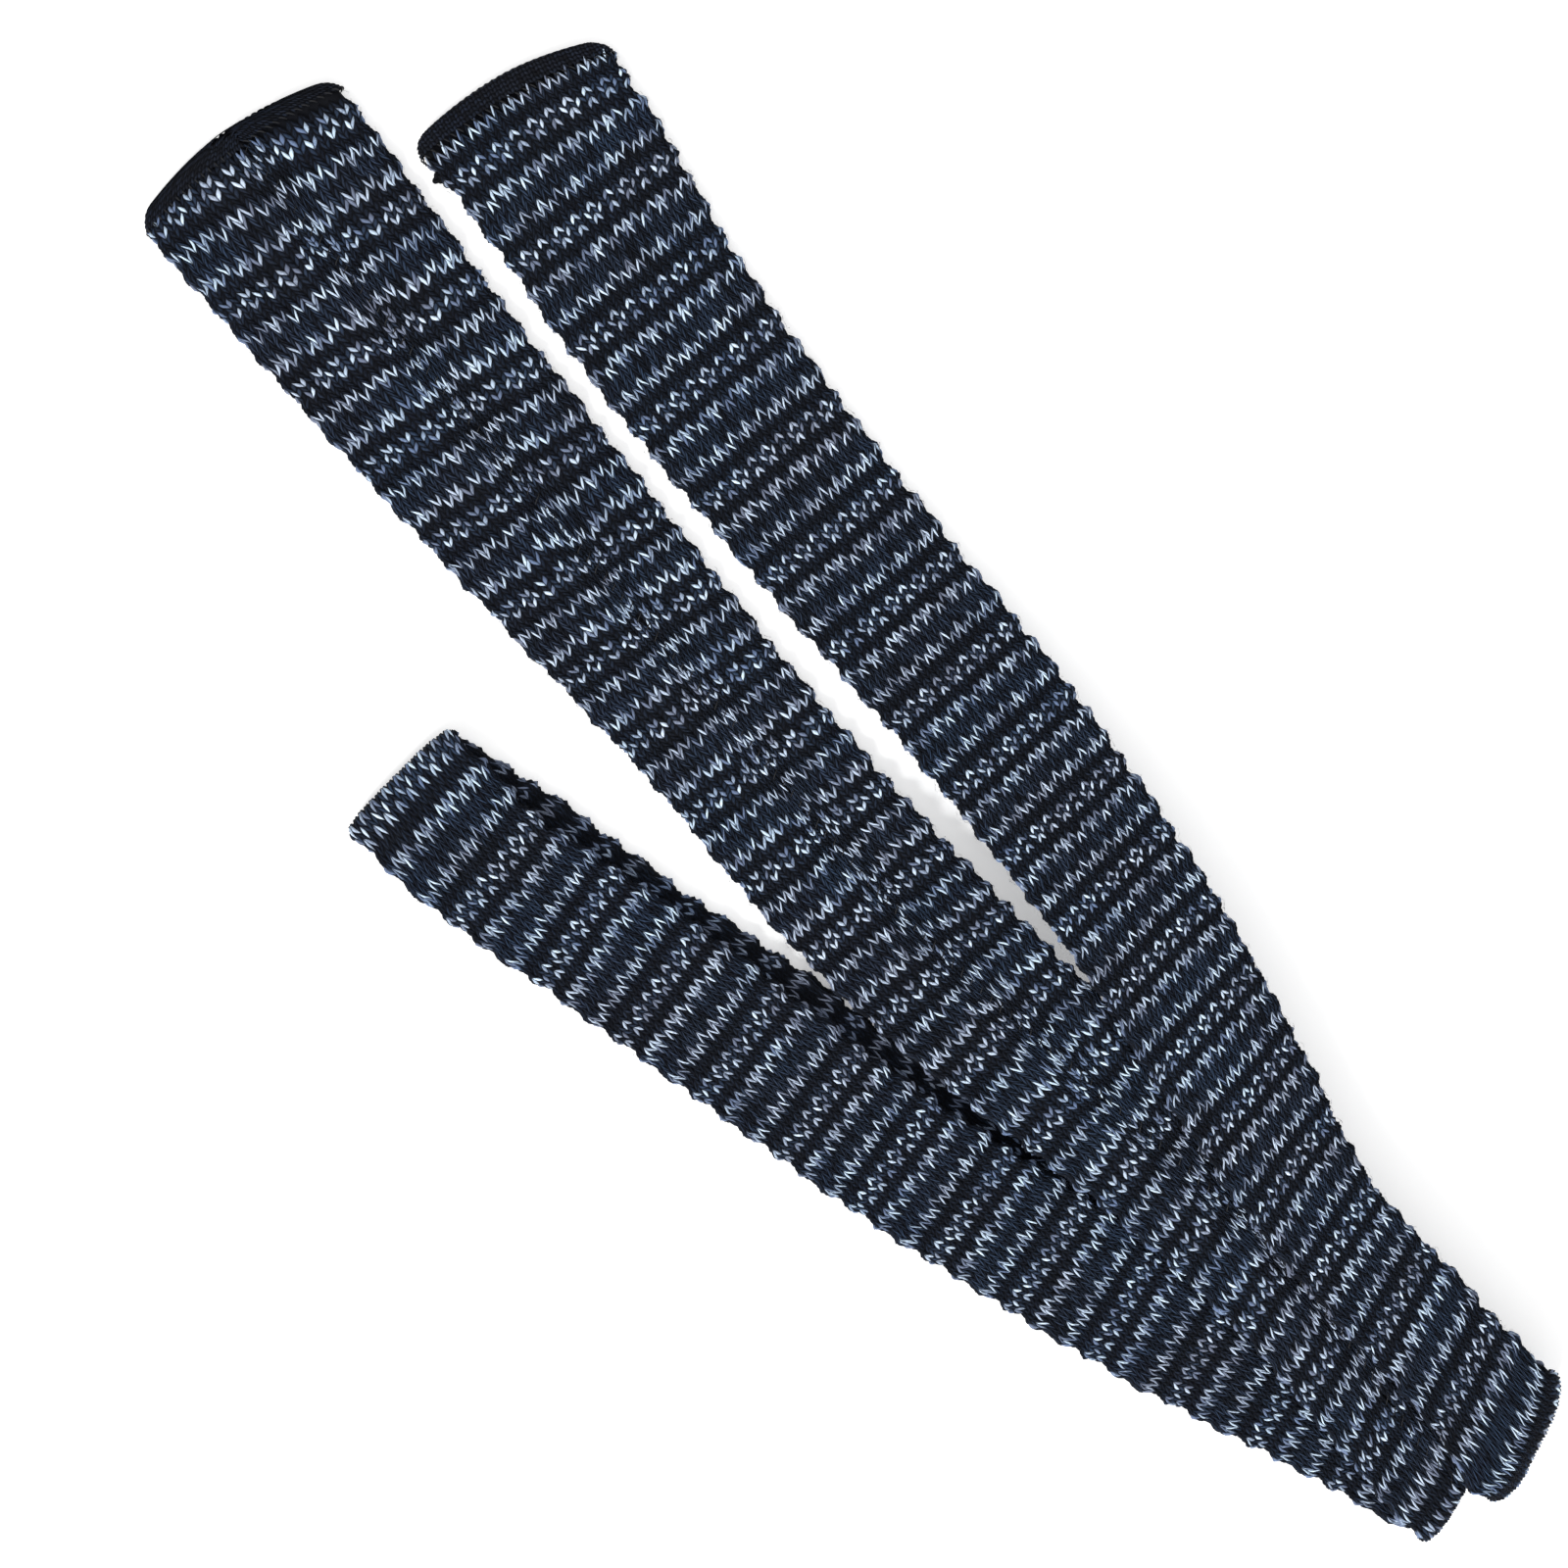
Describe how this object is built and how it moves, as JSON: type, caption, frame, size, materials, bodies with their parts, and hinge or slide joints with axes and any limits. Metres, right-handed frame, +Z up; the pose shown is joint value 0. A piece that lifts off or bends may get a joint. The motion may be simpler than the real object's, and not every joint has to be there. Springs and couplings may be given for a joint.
{
  "type": "knitted necktie",
  "caption": "Square-ended knitted necktie with banded fleck pattern, laid flat and folded into four lays, with plain hems and a back seam.",
  "frame": {"origin": "centre of the bounding box, on the surface the tie lies on", "axes": "+X along the blades, from their hemmed ends towards the folds; +Z up; narrow blade on the +Y side"},
  "size_m": [0.453, 0.17, 0.0153],
  "materials": {
    "banded_knit": "matte wool knit, near-black navy ground with pale blue-grey fleck stitches in bands",
    "plain_knit": "matte plain navy knit",
    "sewing_thread": "dark twisted sewing thread",
    "stay_tape": "woven twill tape"
  },
  "bodies": {
    "folded_stack": {"stack_lower_lay": "banded_knit", "stack_upper_lay": "banded_knit", "stack_inner_fold": "banded_knit", "wide_blade_root": "banded_knit", "stack_seam_thread": "sewing_thread", "outer_fold": "banded_knit", "wide_blade_bend": "banded_knit", "loop_bend_lower": "banded_knit", "loop_bend_upper": "banded_knit"},
    "narrow_blade": {"narrow_blade": "banded_knit", "narrow_hem": "plain_knit", "narrow_hem_stitching": "sewing_thread", "narrow_seam_thread": "sewing_thread", "narrow_yarn_knot": "plain_knit"},
    "wide_blade": {"wide_blade": "banded_knit", "wide_hem": "plain_knit", "wide_hem_stitching": "sewing_thread", "wide_seam_thread": "sewing_thread"},
    "neck_loop": {"neck_loop_lower": "banded_knit", "neck_loop_upper": "banded_knit", "neck_loop_fold": "banded_knit", "neck_stay_tape": "stay_tape", "loop_seam_thread": "sewing_thread"}
  },
  "joints": [
    {"name": "narrow_blade_open", "type": "hinge", "parent": "folded_stack", "child": "narrow_blade", "pos_m": [0.22186, 0.05403, 0.00765], "axis": [-0.3746, 0.9272, 0], "range_deg": [0, 180], "deforming": ["outer_fold"]},
    {"name": "wide_blade_lift", "type": "hinge", "parent": "folded_stack", "child": "wide_blade", "pos_m": [0.028, 0.0079, 0.0108], "axis": [-0.1011, 0.9949, 0], "range_deg": [0, 90], "deforming": ["wide_blade_bend"]},
    {"name": "neck_loop_lift", "type": "hinge", "parent": "folded_stack", "child": "neck_loop", "pos_m": [0.007, -0.0436, 0.00975], "axis": [-0.2756, 0.9613, 0], "range_deg": [0, 90], "deforming": ["loop_bend_lower", "loop_bend_upper"]}
  ]
}
